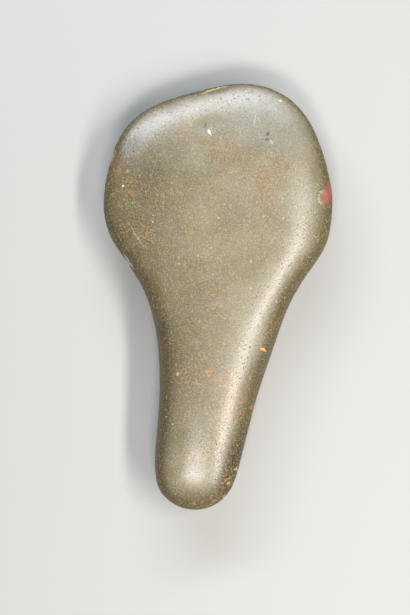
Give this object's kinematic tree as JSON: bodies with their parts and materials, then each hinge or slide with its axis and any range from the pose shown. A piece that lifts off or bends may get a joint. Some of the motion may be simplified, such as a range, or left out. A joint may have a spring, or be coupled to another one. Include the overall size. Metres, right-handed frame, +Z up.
{
  "type": "polished stone axe",
  "caption": "Ground and polished greenstone axe head: a broad round blade with a blunt cutting edge, waisted into a long stem with a rounded poll.",
  "frame": {"origin": "on the resting plane, under the middle of the stone's box", "axes": "+Y along the stone from the poll to the cutting edge, +X across the blade, +Z up out of the upper face; the stone lies on its worn underside"},
  "size_m": [0.1296, 0.24, 0.0359],
  "materials": {
    "greenstone": "ground and polished to a satin, olive brown with fine tan and rust flecks"
  },
  "bodies": {
    "root": {"stone_axe": "greenstone"}
  },
  "joints": []
}
